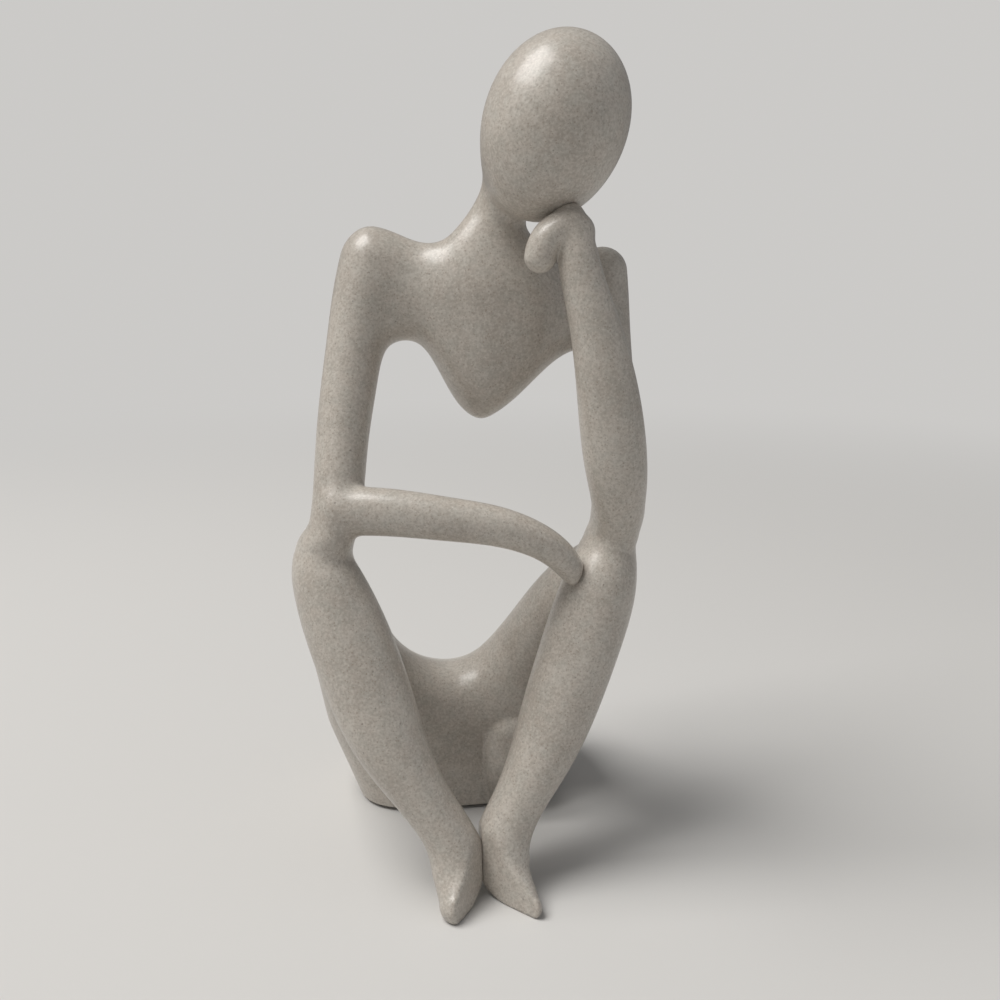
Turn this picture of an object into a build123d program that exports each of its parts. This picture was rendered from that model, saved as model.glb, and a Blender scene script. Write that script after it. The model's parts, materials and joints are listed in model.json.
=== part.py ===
from build123d import *
import math
import os

os.makedirs("parts", exist_ok=True)

# Thinker statue: a seated figure with a blank egg head, in speckled cast resin.
# The figure looks along -Y, its right hand side is -X, and it stands on Z = 0.
# The origin is on the floor, under the middle of the whole statue.

# Heights of the pose, each from the one below it: floor, knee, elbow, shoulder, neck and head
knee_height = 105.0
elbow_rise = 3.0
shoulder_rise = 92.0
neck_length = 16.0
head_rise = 27.0
chest_length = 59.0
seat_height = 47.0

# Distances to the sides, ahead and behind
knee_spread = 44.0
shoulder_spread = 46.0
toe_reach = 57.0
elbow_reach = 15.0
seat_setback = 32.0
shoulder_setback = 10.5
neck_across = 12.0
neck_lean = 4.2
head_across = 24.3
head_reach = 13.0
forearm_rise = 8.5

# Head: a blank egg, wider at the crown, that leans over the resting hand
head_length = 54.4
head_width = 41.6
head_crown_share = 0.05
head_pole_share = 0.06
head_rings = 11
head_lean_angle = 21.0
head_tip_angle = 3.5

# Half widths and half depths of the limbs at their fullest, and the step between sections
section_step = 6.0
shin_half_width = 12.5
shin_half_depth = 12.5
thigh_half_width = 13.0
thigh_half_depth = 13.0
arm_half_width = 9.0
arm_half_depth = 9.3
forearm_half_height = 7.5
forearm_half_depth = 7.0
hand_half_width = 6.4
hand_half_depth = 6.2
chest_half_depth = 12.8
neck_half_width = 7.4
neck_half_depth = 8.0
seat_half_width = 46.5
seat_half_depth = 25.5
seat_corner_share = 0.8

# Feet: each is trimmed upright along a line from the web between them to its toe
web_reach = 43.6
web_across = 1.5
right_toe_out = 10.0
left_toe_out = 12.5

# Seams where the castings are bonded together
right_shoulder_seam = 24.0
left_shoulder_seam = 37.5
left_elbow_seam = 19.5
left_fork_reach = 16.0
left_fork_rise = 30.0
right_knee_seam = 4.5
left_knee_seam = 9.0
neck_seam_drop = 26.5

# Felt pad under the seat
pad_thickness = 1.5
pad_inset = 2.5

# Steel wires cast into the thin limbs, with a film of resin round each
arm_wire_radius = 1.2
leg_wire_radius = 1.6
neck_rod_radius = 2.0
wire_film = 0.15
wire_grip = 9.0
finger_grip = 4.0
wire_bend_radius = 5.0

# Each limb is a table of shares, from one end to the other. A row gives the place of one
# oval section and its size: across, ahead or behind, up, half width, half depth. The two
# forearms are wide the other way about: the right one by its height, the left by its depth.
right_leg_shares = [
    (-1.00, -0.23, 1.06, 0.61, 0.70),
    (-1.00, -0.225, 1.03, 0.69, 0.78),
    (-1.005, -0.21, 0.99, 0.82, 0.88),
    (-1.01, -0.24, 0.915, 0.93, 0.94),
    (-0.885, -0.35, 0.735, 1.00, 1.00),
    (-0.70, -0.49, 0.515, 0.95, 0.95),
    (-0.56, -0.57, 0.39, 0.78, 0.84),
    (-0.40, -0.63, 0.28, 0.64, 0.72),
    (-0.255, -0.68, 0.175, 0.64, 0.70),
    (-0.20, -0.77, 0.09, 0.65, 0.62),
    (-0.22, -0.90, 0.035, 0.50, 0.45),
    (-0.26, -0.985, 0.015, 0.25, 0.20),
]
left_leg_shares = [
    (0.985, -0.29, 1.06, 0.60, 0.70),
    (0.985, -0.285, 1.03, 0.66, 0.76),
    (0.985, -0.27, 0.99, 0.76, 0.84),
    (0.925, -0.325, 0.89, 0.90, 0.94),
    (0.76, -0.40, 0.705, 0.99, 1.00),
    (0.54, -0.475, 0.47, 0.90, 0.95),
    (0.395, -0.545, 0.35, 0.76, 0.84),
    (0.235, -0.61, 0.24, 0.65, 0.72),
    (0.115, -0.68, 0.145, 0.70, 0.70),
    (0.105, -0.78, 0.08, 0.70, 0.60),
    (0.195, -0.90, 0.035, 0.48, 0.45),
    (0.25, -0.99, 0.015, 0.25, 0.20),
]
right_thigh_shares = [
    (-0.44, 1.03, 0.22, 1.12, 1.10),
    (-0.62, 0.84, 0.355, 1.25, 1.20),
    (-0.775, 0.62, 0.49, 1.20, 1.16),
    (-0.895, 0.37, 0.63, 1.05, 1.06),
    (-0.985, 0.11, 0.76, 0.92, 0.96),
    (-1.03, -0.14, 0.895, 0.83, 0.85),
    (-1.035, -0.35, 1.00, 0.70, 0.70),
]
left_thigh_shares = [
    (0.40, 1.03, 0.22, 1.12, 1.10),
    (0.48, 0.84, 0.355, 1.25, 1.20),
    (0.555, 0.62, 0.485, 1.20, 1.17),
    (0.67, 0.38, 0.62, 1.06, 1.07),
    (0.825, 0.085, 0.77, 0.93, 0.95),
    (0.95, -0.21, 0.89, 0.83, 0.83),
    (0.995, -0.45, 1.00, 0.68, 0.68),
]
right_upper_arm_shares = [
    (-0.625, 0.72, 0.992, 0.25, 0.25),
    (-0.625, 0.72, 0.97, 0.62, 0.62),
    (-0.63, 0.71, 0.94, 0.86, 0.88),
    (-0.64, 0.69, 0.89, 0.97, 1.00),
    (-0.725, 0.54, 0.74, 0.96, 1.00),
    (-0.805, 0.20, 0.54, 0.95, 0.97),
    (-0.885, -0.26, 0.315, 0.89, 0.95),
    (-0.945, -0.70, 0.12, 0.87, 0.97),
    (-0.985, -0.97, 0.00, 0.90, 0.96),
    (-1.00, -1.13, -0.07, 0.92, 0.96),
]
left_upper_arm_shares = [
    (1.015, 0.53, 0.932, 0.22, 0.25),
    (1.015, 0.53, 0.915, 0.54, 0.60),
    (1.015, 0.53, 0.89, 0.76, 0.84),
    (1.02, 0.51, 0.85, 0.86, 0.95),
    (1.04, 0.31, 0.65, 0.85, 0.97),
    (1.05, -0.17, 0.425, 0.86, 0.97),
    (1.06, -0.69, 0.225, 0.93, 0.97),
    (1.035, -1.10, 0.07, 0.84, 0.88),
    (1.005, -1.34, -0.07, 0.80, 0.85),
]
right_forearm_shares = [
    (-0.91, -1.00, 1.00, 1.00, 1.00),
    (-0.585, -1.28, 1.00, 0.96, 0.94),
    (-0.185, -1.53, 0.78, 0.88, 0.90),
    (0.15, -1.69, 0.50, 0.80, 0.84),
    (0.425, -1.75, -0.07, 0.70, 0.77),
    (0.585, -1.69, -0.74, 0.62, 0.71),
    (0.66, -1.62, -1.25, 0.46, 0.52),
    (0.68, -1.60, -1.50, 0.20, 0.22),
]
left_forearm_shares = [
    (1.01, -1.15, -0.075, 0.81, 0.68),
    (1, -1.28, 0, 0.81, 0.72),
    (0.99, -1.53, 0.115, 0.91, 0.91),
    (0.94, -1.72, 0.275, 0.97, 1.06),
    (0.865, -1.82, 0.49, 0.92, 1.00),
    (0.775, -1.84, 0.68, 0.79, 0.82),
    (0.69, -1.76, 0.83, 0.69, 0.69),
    (0.655, -1.68, 0.92, 0.65, 0.64),
    (0.635, -1.58, 0.985, 0.63, 0.61),
    (0.625, -1.44, 1.02, 0.51, 0.48),
    (0.62, -1.34, 1.04, 0.21, 0.20),
]
left_fist_shares = [
    (0.71, -1.60, 0.985, 0.45, 0.45),
    (0.65, -1.58, 0.985, 0.90, 0.95),
    (0.57, -1.58, 0.98, 1.00, 1.00),
    (0.50, -1.60, 0.955, 1.00, 1.00),
    (0.435, -1.63, 0.91, 0.86, 0.92),
    (0.405, -1.66, 0.88, 0.60, 0.66),
    (0.395, -1.68, 0.862, 0.22, 0.25),
]
neck_shares = [
    (0.77, 0.36, -1.00, 2.00, 1.25),
    (0.75, 0.31, -0.375, 1.62, 1.12),
    (0.86, 0.28, 0.125, 1.14, 1.02),
    (1.02, -0.21, 0.56, 1.00, 1.00),
    (1.13, -1.00, 1.00, 1.05, 1.10),
]

# The chest is a shield that hangs to a tip: across, behind, top, bottom, half depth.
# Tops and bottoms are shares of its length, measured down from the shoulder.
chest_shares = [
    (-0.59, 0.98, 0.05, 0.56, 0.69),
    (-0.46, 0.86, 0.065, 0.575, 0.74),
    (-0.305, 0.67, 0.08, 0.605, 0.82),
    (-0.195, 0.52, 0.085, 0.71, 0.90),
    (-0.085, 0.38, 0.085, 0.87, 0.94),
    (0.02, 0.27, 0.085, 0.97, 0.98),
    (0.11, 0.21, 0.09, 1.00, 1.00),
    (0.195, 0.19, 0.085, 0.975, 1.00),
    (0.305, 0.17, 0.085, 0.91, 0.98),
    (0.46, 0.19, 0.095, 0.795, 0.94),
    (0.65, 0.33, 0.125, 0.675, 0.82),
    (0.83, 0.52, 0.145, 0.61, 0.74),
    (0.935, 0.62, 0.165, 0.555, 0.66),
]

# The seat block, from its flat underside up: height, setback, half width, half depth
seat_shares = [
    (0.00, 1.00, 0.80, 0.96),
    (0.143, 1.00, 0.865, 1.00),
    (0.319, 1.00, 0.92, 1.01),
    (0.495, 1.00, 0.975, 1.01),
    (0.648, 1.00, 1.00, 0.99),
    (0.767, 0.945, 0.93, 0.87),
    (0.835, 0.875, 0.85, 0.76),
    (0.888, 0.81, 0.75, 0.64),
    (0.932, 0.765, 0.62, 0.50),
    (0.967, 0.72, 0.45, 0.35),
    (1.00, 0.69, 0.22, 0.17),
]


def places(shares, across, ahead, low, high, half_width, half_depth):
    """Turn a limb's table of shares into rows of x, y, z, half width and half depth."""
    rows = []
    for share_x, share_y, share_z, share_width, share_depth in shares:
        height = low + share_z * (high - low)
        sizes = [share_width * half_width, share_depth * half_depth]
        rows.append([share_x * across, share_y * ahead, height] + sizes)
    return rows


def centre(row):
    """The middle of one section."""
    return Vector(*row[:3])


def slopes(rows, gaps):
    """How fast each value of a row changes along the line, at each row."""
    steps = [
        [(after - before) / gap for before, after in zip(first, second)]
        for first, second, gap in zip(rows, rows[1:], gaps)
    ]
    found = [steps[0]]
    for index in range(1, len(steps)):
        near, far = gaps[index - 1], gaps[index]
        pair = zip(steps[index - 1], steps[index])
        found.append([(far * first + near * second) / (near + far) for first, second in pair])
    return found + [steps[-1]]


def eased(rows):
    """Add sections between the rows of a table, on smooth curves through them."""
    gaps = [(centre(second) - centre(first)).length for first, second in zip(rows, rows[1:])]
    slope = slopes(rows, gaps)
    smooth = []
    for index, gap in enumerate(gaps):
        steps = max(1, round(gap / section_step))
        for step in range(steps):
            t = step / steps
            weights = [
                2 * t**3 - 3 * t**2 + 1,
                3 * t**2 - 2 * t**3,
                gap * (t**3 - 2 * t**2 + t),
                gap * (t**3 - t**2),
            ]
            ends = zip(rows[index], rows[index + 1], slope[index], slope[index + 1])
            smooth.append([sum(w * v for w, v in zip(weights, values)) for values in ends])
    return smooth + [rows[-1]]


def limb(rows, side):
    """A limb that swells and tapers, with an oval section square to its line."""
    stations = eased(rows)
    sections = []
    for index, station in enumerate(stations):
        before = centre(stations[max(index - 1, 0)])
        after = centre(stations[min(index + 1, len(stations) - 1)])
        along = (after - before).normalized()
        across = (side - along * side.dot(along)).normalized()
        plane = Plane(origin=centre(station), x_dir=across, z_dir=along)
        sections.append(plane * Ellipse(*station[3:]))
    return loft(sections, ruled=True)


def chest():
    """The shield of the chest, with upright oval sections from shoulder to shoulder."""
    rows = []
    for share_x, share_y, share_top, share_bottom, share_depth in chest_shares:
        top = shoulder_height - share_top * chest_length
        bottom = shoulder_height - share_bottom * chest_length
        middle = [share_x * shoulder_spread, share_y * shoulder_setback, (top + bottom) / 2]
        rows.append(middle + [share_depth * chest_half_depth, (top - bottom) / 2])
    sections = []
    for row in eased(rows):
        plane = Plane(origin=centre(row), x_dir=(0, 1, 0), z_dir=(1, 0, 0))
        sections.append(plane * Ellipse(*row[3:]))
    return loft(sections, ruled=True)


def seat_block():
    """The rounded block that the figure sits on, flat below."""
    rows = []
    for share_z, share_y, share_width, share_depth in seat_shares:
        height = pad_thickness + share_z * (seat_height - pad_thickness)
        sizes = [share_width * seat_half_width, share_depth * seat_half_depth]
        rows.append([0, share_y * seat_setback, height] + sizes)
    sections = []
    for row in eased(rows):
        half_width, half_depth = row[3:]
        corner = seat_corner_share * half_depth
        outline = RectangleRounded(2 * half_width, 2 * half_depth, corner)
        sections.append(Plane(origin=centre(row)) * outline)
    return loft(sections, ruled=True)


def head_place():
    """The plane at the middle of the head, with its Z along the head's long axis."""
    lean = math.radians(head_lean_angle)
    tip = math.radians(head_tip_angle)
    axis = Vector(math.sin(lean), math.tan(tip) * math.cos(lean), math.cos(lean))
    return Plane(origin=(head_across, -head_reach, shoulder_height + head_rise), z_dir=axis)


def egg():
    """The blank egg of the head, in round sections along its long axis."""
    half_length = head_length / 2
    sections = []
    for ring in range(head_rings):
        turn = head_pole_share + (1 - 2 * head_pole_share) * ring / (head_rings - 1)
        level = -math.cos(math.pi * turn)
        radius = head_width / 2 * (1 + head_crown_share * level) * math.sin(math.pi * turn)
        sections.append(head_place().offset(level * half_length) * Circle(radius))
    return loft(sections)


def neck_seam(neck_row):
    """The plane where the neck meets the head, facing up into the head."""
    middle = head_place().origin
    towards = (middle - centre(neck_row)).normalized()
    return Plane(origin=middle - towards * neck_seam_drop, z_dir=towards)


def keep(solid, point, facing):
    """Cut a solid with a plane and keep the side that the plane faces."""
    return split(solid, bisect_by=Plane(origin=point, z_dir=facing), keep=Keep.TOP)


def largest(shape):
    """The largest solid of a shape, without the crumbs that a cut leaves."""
    return Part() + max(shape.solids(), key=lambda solid: solid.volume)


def wire(points, radius):
    """A round steel wire through a list of points, with eased bends."""
    path = FilletPolyline(*points, radius=wire_bend_radius) if len(points) > 2 else Line(*points)
    start = Plane(origin=path @ 0, z_dir=path % 0)
    return sweep(start * Circle(radius), path)


elbow_height = knee_height + elbow_rise
shoulder_height = elbow_height + shoulder_rise
neck_top = shoulder_height + neck_length
forearm_height = elbow_height + forearm_rise
sideways = Vector(1, 0, 0)
upward = Vector(0, 0, 1)
forward = Vector(0, 1, 0)

right_leg_line = places(
    right_leg_shares, knee_spread, toe_reach, 0, knee_height, shin_half_width, shin_half_depth
)
left_leg_line = places(
    left_leg_shares, knee_spread, toe_reach, 0, knee_height, shin_half_width, shin_half_depth
)
right_thigh_line = places(
    right_thigh_shares, knee_spread, seat_setback, 0, knee_height, thigh_half_width, thigh_half_depth
)
left_thigh_line = places(
    left_thigh_shares, knee_spread, seat_setback, 0, knee_height, thigh_half_width, thigh_half_depth
)
right_upper_arm_line = places(
    right_upper_arm_shares, knee_spread, elbow_reach, elbow_height, shoulder_height,
    arm_half_width, arm_half_depth,
)
left_upper_arm_line = places(
    left_upper_arm_shares, knee_spread, elbow_reach, elbow_height, shoulder_height,
    arm_half_width, arm_half_depth,
)
right_forearm_line = places(
    right_forearm_shares, knee_spread, elbow_reach, elbow_height, forearm_height,
    forearm_half_height, forearm_half_depth,
)
left_forearm_line = places(
    left_forearm_shares, knee_spread, elbow_reach, elbow_height, shoulder_height,
    arm_half_depth, arm_half_width,
)
left_fist_line = places(
    left_fist_shares, knee_spread, elbow_reach, elbow_height, shoulder_height,
    hand_half_width, hand_half_depth,
)
neck_line = places(
    neck_shares, neck_across, neck_lean, shoulder_height, neck_top, neck_half_width, neck_half_depth
)

# The figure's masses, each whole, before the seams part them
elbow_point = (0, 0, elbow_height)
web_point = (-web_across, -web_reach, 0)
right_shoulder_point = (-right_shoulder_seam, 0, 0)
left_shoulder_point = (left_shoulder_seam, 0, 0)
chest_mass = chest()
neck_mass = limb(neck_line, sideways)

# Head and torso part at the neck
seam = neck_seam(neck_line[2])
head = largest(split(egg() + neck_mass, bisect_by=seam, keep=Keep.TOP))
torso = keep(chest_mass + neck_mass, right_shoulder_point, (1, 0, 0))
torso = keep(torso, left_shoulder_point, (-1, 0, 0))
torso = largest(split(torso, bisect_by=seam, keep=Keep.BOTTOM))

# Legs: shins and feet, cut level at the knees, flat below and upright between the feet
right_leg = keep(limb(right_leg_line, sideways), elbow_point, (0, 0, -1))
right_leg = keep(right_leg, (0, -right_knee_seam, 0), (0, -1, 0))
right_leg = keep(right_leg, (0, 0, 0), (0, 0, 1))
right_leg = keep(right_leg, web_point, (-1, 0, 0))
right_toe_line = Vector(-right_toe_out, -toe_reach, 0) - Vector(web_point)
right_leg = largest(keep(right_leg, web_point, right_toe_line.cross(upward)))
left_leg = keep(limb(left_leg_line, sideways), elbow_point, (0, 0, -1))
left_leg = keep(left_leg, (0, -left_knee_seam, 0), (0, -1, 0))
left_leg = keep(left_leg, (0, 0, 0), (0, 0, 1))
left_leg = keep(left_leg, web_point, (1, 0, 0))
left_toe_line = Vector(left_toe_out, -toe_reach, 0) - Vector(web_point)
left_leg = largest(keep(left_leg, web_point, upward.cross(left_toe_line)))

# Seat: the block with both thighs, which end behind the knees
right_thigh = keep(limb(right_thigh_line, sideways), (0, -right_knee_seam, 0), (0, 1, 0))
left_thigh = keep(limb(left_thigh_line, sideways), (0, -left_knee_seam, 0), (0, 1, 0))
seat = keep(seat_block() + right_thigh + left_thigh, elbow_point, (0, 0, -1))
seat = largest(seat)

# Arms: each stands on its knee, the right hand on the far knee, the left under the chin
right_arm = keep(limb(right_upper_arm_line, sideways), elbow_point, (0, 0, 1))
right_arm = keep(right_arm, right_shoulder_point, (-1, 0, 0))
right_arm = right_arm + limb(right_forearm_line, -upward)
right_arm = largest(right_arm - left_leg)
left_elbow_point = (0, -left_elbow_seam, elbow_height)
left_elbow_facing = (0, left_fork_rise, left_fork_reach - left_elbow_seam)
left_elbow_backing = (0, -left_fork_rise, left_elbow_seam - left_fork_reach)
left_upper_arm = keep(limb(left_upper_arm_line, sideways), left_shoulder_point, (1, 0, 0))
left_upper_arm = keep(left_upper_arm, elbow_point, (0, 0, 1))
left_upper_arm = largest(keep(left_upper_arm, left_elbow_point, left_elbow_facing))
left_forearm = keep(limb(left_forearm_line, -forward), elbow_point, (0, 0, 1))
left_forearm = keep(left_forearm, left_elbow_point, left_elbow_backing)
left_forearm = largest(left_forearm + limb(left_fist_line, forward) - head)

# Routes of the hidden wires, through the centres of the limbs that they stiffen
right_leg_centres = [centre(row) for row in right_leg_line]
left_leg_centres = [centre(row) for row in left_leg_line]
right_thigh_centres = [centre(row) for row in right_thigh_line]
left_thigh_centres = [centre(row) for row in left_thigh_line]
right_upper_arm_centres = [centre(row) for row in right_upper_arm_line]
left_upper_arm_centres = [centre(row) for row in left_upper_arm_line]
right_forearm_centres = [centre(row) for row in right_forearm_line]
left_forearm_centres = [centre(row) for row in left_forearm_line]
neck_centres = [centre(row) for row in neck_line]
head_middle = head_place().origin

right_shoulder_bend = (right_upper_arm_centres[3] + right_upper_arm_centres[4]) / 2
left_shoulder_bend = (left_upper_arm_centres[3] + left_upper_arm_centres[4]) / 2
right_torso_end = Vector(
    wire_grip - right_shoulder_seam, right_shoulder_bend.Y, right_shoulder_bend.Z
)
left_torso_end = Vector(left_shoulder_seam - wire_grip, left_shoulder_bend.Y, left_shoulder_bend.Z)
finger_centre = right_forearm_centres[6]
far_knee = left_leg_centres[3]
finger_end = finger_centre + (far_knee - finger_centre).normalized() * finger_grip
chin_end = left_forearm_centres[9] + upward * wire_grip
neck_rod_end = (neck_centres[3] + head_middle) / 2

wire_routes = {
    "neck_rod": ([neck_centres[0], neck_centres[2], neck_rod_end], neck_rod_radius),
    "right_arm_wire": (
        [right_torso_end, right_shoulder_bend] + right_upper_arm_centres[5::2], arm_wire_radius
    ),
    "left_arm_wire": (
        [left_torso_end, left_shoulder_bend] + left_upper_arm_centres[5:], arm_wire_radius
    ),
    "right_forearm_wire": (
        right_forearm_centres[1:7] + [finger_end], arm_wire_radius
    ),
    "left_forearm_wire": (
        left_forearm_centres[2:8] + [left_forearm_centres[9], chin_end], arm_wire_radius
    ),
    "right_leg_wire": (
        right_leg_centres[8:2:-1] + right_thigh_centres[4:2:-1], leg_wire_radius
    ),
    "left_leg_wire": (
        left_leg_centres[8:2:-1] + left_thigh_centres[4:2:-1], leg_wire_radius
    ),
}
wires = {name: wire(points, radius) for name, (points, radius) in wire_routes.items()}
bores = {
    name: wire(points, radius + wire_film) for name, (points, radius) in wire_routes.items()
}

# Pad: thick felt, set in from the edge of the seat's underside
pad_outline = RectangleRounded(
    2 * (seat_shares[0][2] * seat_half_width - pad_inset),
    2 * (seat_shares[0][3] * seat_half_depth - pad_inset),
    seat_corner_share * (seat_shares[0][3] * seat_half_depth - pad_inset),
)
seat_pad = extrude(Pos(0, seat_setback, 0) * pad_outline, pad_thickness)

# Each casting is bored for the wires that run through it
castings = {
    "head": (head, ["neck_rod", "left_forearm_wire"]),
    "torso": (torso, ["neck_rod", "right_arm_wire", "left_arm_wire"]),
    "right_arm": (right_arm, ["right_arm_wire", "right_forearm_wire"]),
    "left_upper_arm": (left_upper_arm, ["left_arm_wire"]),
    "left_forearm": (left_forearm, ["left_forearm_wire", "left_arm_wire"]),
    "right_leg": (right_leg, ["right_leg_wire", "right_arm_wire"]),
    "left_leg": (left_leg, ["left_leg_wire", "left_arm_wire", "right_forearm_wire"]),
    "seat": (seat, ["right_leg_wire", "left_leg_wire"]),
}
nodes = {"seat_pad": seat_pad}
nodes.update(wires)
for name, (casting, bored_for) in castings.items():
    for wire_name in bored_for:
        casting = casting - bores[wire_name]
    nodes[name] = largest(casting)

for name, shape in nodes.items():
    export_step(shape, f"parts/{name}.step")
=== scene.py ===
"""Dresses the thinker statue: one smooth speckled resin skin over its castings, a felt pad and steel wires.

The figure is one surface. Each limb is a soft oval tube along a smooth line, and the tubes, the
chest, the head and the seat melt into each other. That surface is meshed once for each casting
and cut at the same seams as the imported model. Lengths are in metres.
"""

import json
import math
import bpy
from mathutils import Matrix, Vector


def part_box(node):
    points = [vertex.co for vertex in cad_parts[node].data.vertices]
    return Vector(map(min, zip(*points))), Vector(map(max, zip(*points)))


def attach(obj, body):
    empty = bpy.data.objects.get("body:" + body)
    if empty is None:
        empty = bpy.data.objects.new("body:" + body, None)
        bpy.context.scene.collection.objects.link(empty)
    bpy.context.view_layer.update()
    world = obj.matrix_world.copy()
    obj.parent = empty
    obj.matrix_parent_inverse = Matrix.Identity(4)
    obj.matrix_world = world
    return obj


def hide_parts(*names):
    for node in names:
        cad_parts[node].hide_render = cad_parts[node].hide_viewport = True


bl_info = {
    "name": "Thinker statue",
    "version": (1, 0, 0),
    "blender": (4, 5, 0),
    "location": "3D Viewport > Sidebar > Statue",
    "description": "Builds the statue's resin skin, felt pad, wires and stage on the packed model",
    "category": "Object",
}

import bmesh
import bpy
import numpy as np
from bpy.props import FloatProperty, FloatVectorProperty, IntProperty, PointerProperty
from bpy.types import Operator, Panel, PropertyGroup
from mathutils import Vector

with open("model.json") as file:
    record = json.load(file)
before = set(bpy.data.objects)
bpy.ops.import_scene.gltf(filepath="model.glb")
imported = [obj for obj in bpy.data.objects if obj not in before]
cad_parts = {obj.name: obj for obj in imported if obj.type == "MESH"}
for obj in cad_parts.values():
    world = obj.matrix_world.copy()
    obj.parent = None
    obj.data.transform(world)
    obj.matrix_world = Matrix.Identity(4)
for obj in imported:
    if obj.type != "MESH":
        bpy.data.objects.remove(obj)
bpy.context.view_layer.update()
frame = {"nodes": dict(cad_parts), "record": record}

# FAR stands for any distance far from a skin. A form is worked out within NEAR of its own box, and the
# taper of the head and the seat stops changing at OVER times their half height.
FAR = 0.05
NEAR = 0.012
OVER = 1.3
# The search for the nearest place on a limb: marks in each gap, points taken at once, steps, and the
# least share of the line's own speed that a step counts with.
MARKS, BLOCK, STEPS, SPEED_SHARE = 8, 50000, 4, 0.25
# Drawing a mesh onto its skin: rounds, the least steepness, and the most that a round moves, in faces.
ROUNDS, LEAST_STEEP, MOST_MOVE = 2, 0.1, 0.5

# Each limb is a table of shares: across, ahead or behind, up, half width, half depth.
# The half width of the right forearm is measured upwards, and that of the left forearm and the fist
# from front to back.
RIGHT_LEG = (
    (-1.045, -0.21, 0.99, 0.56, 0.70),
    (-1.03, -0.24, 0.915, 0.81, 0.92),
    (-0.885, -0.35, 0.735, 1.00, 1.00),
    (-0.70, -0.49, 0.515, 0.95, 0.95),
    (-0.56, -0.57, 0.39, 0.78, 0.84),
    (-0.40, -0.63, 0.28, 0.64, 0.72),
    (-0.25, -0.68, 0.175, 0.64, 0.70),
    (-0.188, -0.77, 0.09, 0.69, 0.60),
    (-0.215, -0.91, 0.035, 0.50, 0.45),
)
LEFT_LEG = (
    (0.98, -0.27, 0.99, 0.58, 0.72),
    (0.915, -0.325, 0.89, 0.88, 0.94),
    (0.755, -0.40, 0.705, 0.98, 1.00),
    (0.54, -0.475, 0.47, 0.90, 0.95),
    (0.395, -0.545, 0.35, 0.76, 0.84),
    (0.235, -0.61, 0.24, 0.65, 0.72),
    (0.115, -0.68, 0.145, 0.70, 0.70),
    (0.105, -0.78, 0.08, 0.70, 0.60),
    (0.195, -0.89, 0.04, 0.46, 0.46),
    (0.245, -0.965, 0.028, 0.30, 0.30),
)
RIGHT_THIGH = (
    (-0.48, 1.03, 0.22, 1.10, 1.10),
    (-0.655, 0.84, 0.355, 1.17, 1.15),
    (-0.80, 0.62, 0.49, 1.12, 1.12),
    (-0.905, 0.37, 0.63, 1.01, 1.04),
    (-0.995, 0.11, 0.76, 0.86, 0.95),
    (-1.07, -0.14, 0.895, 0.67, 0.78),
    (-1.075, -0.31, 0.955, 0.50, 0.56),
)
LEFT_THIGH = (
    (0.42, 1.03, 0.22, 1.10, 1.10),
    (0.50, 0.84, 0.355, 1.17, 1.15),
    (0.57, 0.62, 0.485, 1.15, 1.14),
    (0.675, 0.38, 0.62, 1.04, 1.06),
    (0.83, 0.085, 0.77, 0.92, 0.94),
    (0.965, -0.21, 0.88, 0.76, 0.79),
    (0.985, -0.37, 0.94, 0.56, 0.58),
)
LEFT_HAM = (
    (0.47, 0.46, 0.02, 0.92, 0.74),
    (0.42, 0.31, 0.14, 1.00, 0.88),
    (0.41, 0.34, 0.25, 0.94, 0.82),
)
RIGHT_UPPER_ARM = (
    (-0.64, 0.69, 0.877, 0.93, 1.00),
    (-0.725, 0.54, 0.74, 0.93, 1.00),
    (-0.805, 0.20, 0.54, 0.95, 0.97),
    (-0.885, -0.26, 0.315, 0.89, 0.95),
    (-0.935, -0.70, 0.12, 0.84, 0.97),
    (-0.99, -0.97, 0.00, 0.76, 0.93),
)
LEFT_UPPER_ARM = (
    (1.02, 0.51, 0.85, 0.86, 0.95),
    (1.04, 0.31, 0.65, 0.85, 0.97),
    (1.05, -0.17, 0.425, 0.85, 0.97),
    (1.06, -0.69, 0.225, 0.925, 0.97),
    (1.035, -1.10, 0.07, 0.84, 0.88),
)
RIGHT_FOREARM = (
    (-0.91, -1.00, 1.00, 1.00, 1.00),
    (-0.585, -1.28, 1.00, 0.96, 0.94),
    (-0.185, -1.53, 0.78, 0.88, 0.90),
    (0.15, -1.69, 0.50, 0.80, 0.84),
    (0.425, -1.75, -0.07, 0.70, 0.77),
    (0.585, -1.69, -0.74, 0.62, 0.71),
    (0.675, -1.62, -1.36, 0.52, 0.56),
)
LEFT_FOREARM = (
    (1.00, -1.28, 0.00, 0.81, 0.72),
    (0.99, -1.53, 0.115, 0.91, 0.91),
    (0.94, -1.72, 0.275, 0.97, 1.06),
    (0.865, -1.82, 0.49, 0.92, 1.00),
    (0.775, -1.84, 0.68, 0.79, 0.82),
    (0.69, -1.76, 0.83, 0.69, 0.69),
    (0.655, -1.68, 0.912, 0.66, 0.64),
    (0.63, -1.60, 0.967, 0.61, 0.59),
    (0.615, -1.45, 1.013, 0.54, 0.54),
)
LEFT_FIST = (
    (0.655, -1.60, 0.975, 0.84, 0.85),
    (0.59, -1.59, 0.985, 0.90, 0.85),
    (0.495, -1.60, 0.97, 0.92, 0.77),
    (0.434, -1.62, 0.932, 0.86, 0.74),
    (0.415, -1.64, 0.90, 0.78, 0.73),
)
NECK = (
    (0.75, 0.36, -1.00, 2.00, 1.25),
    (0.72, 0.31, -0.375, 1.70, 1.12),
    (0.83, 0.28, 0.125, 1.18, 1.02),
    (1.01, -0.21, 0.56, 1.02, 1.00),
    (1.13, -1.00, 1.00, 1.05, 1.10),
)
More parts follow.
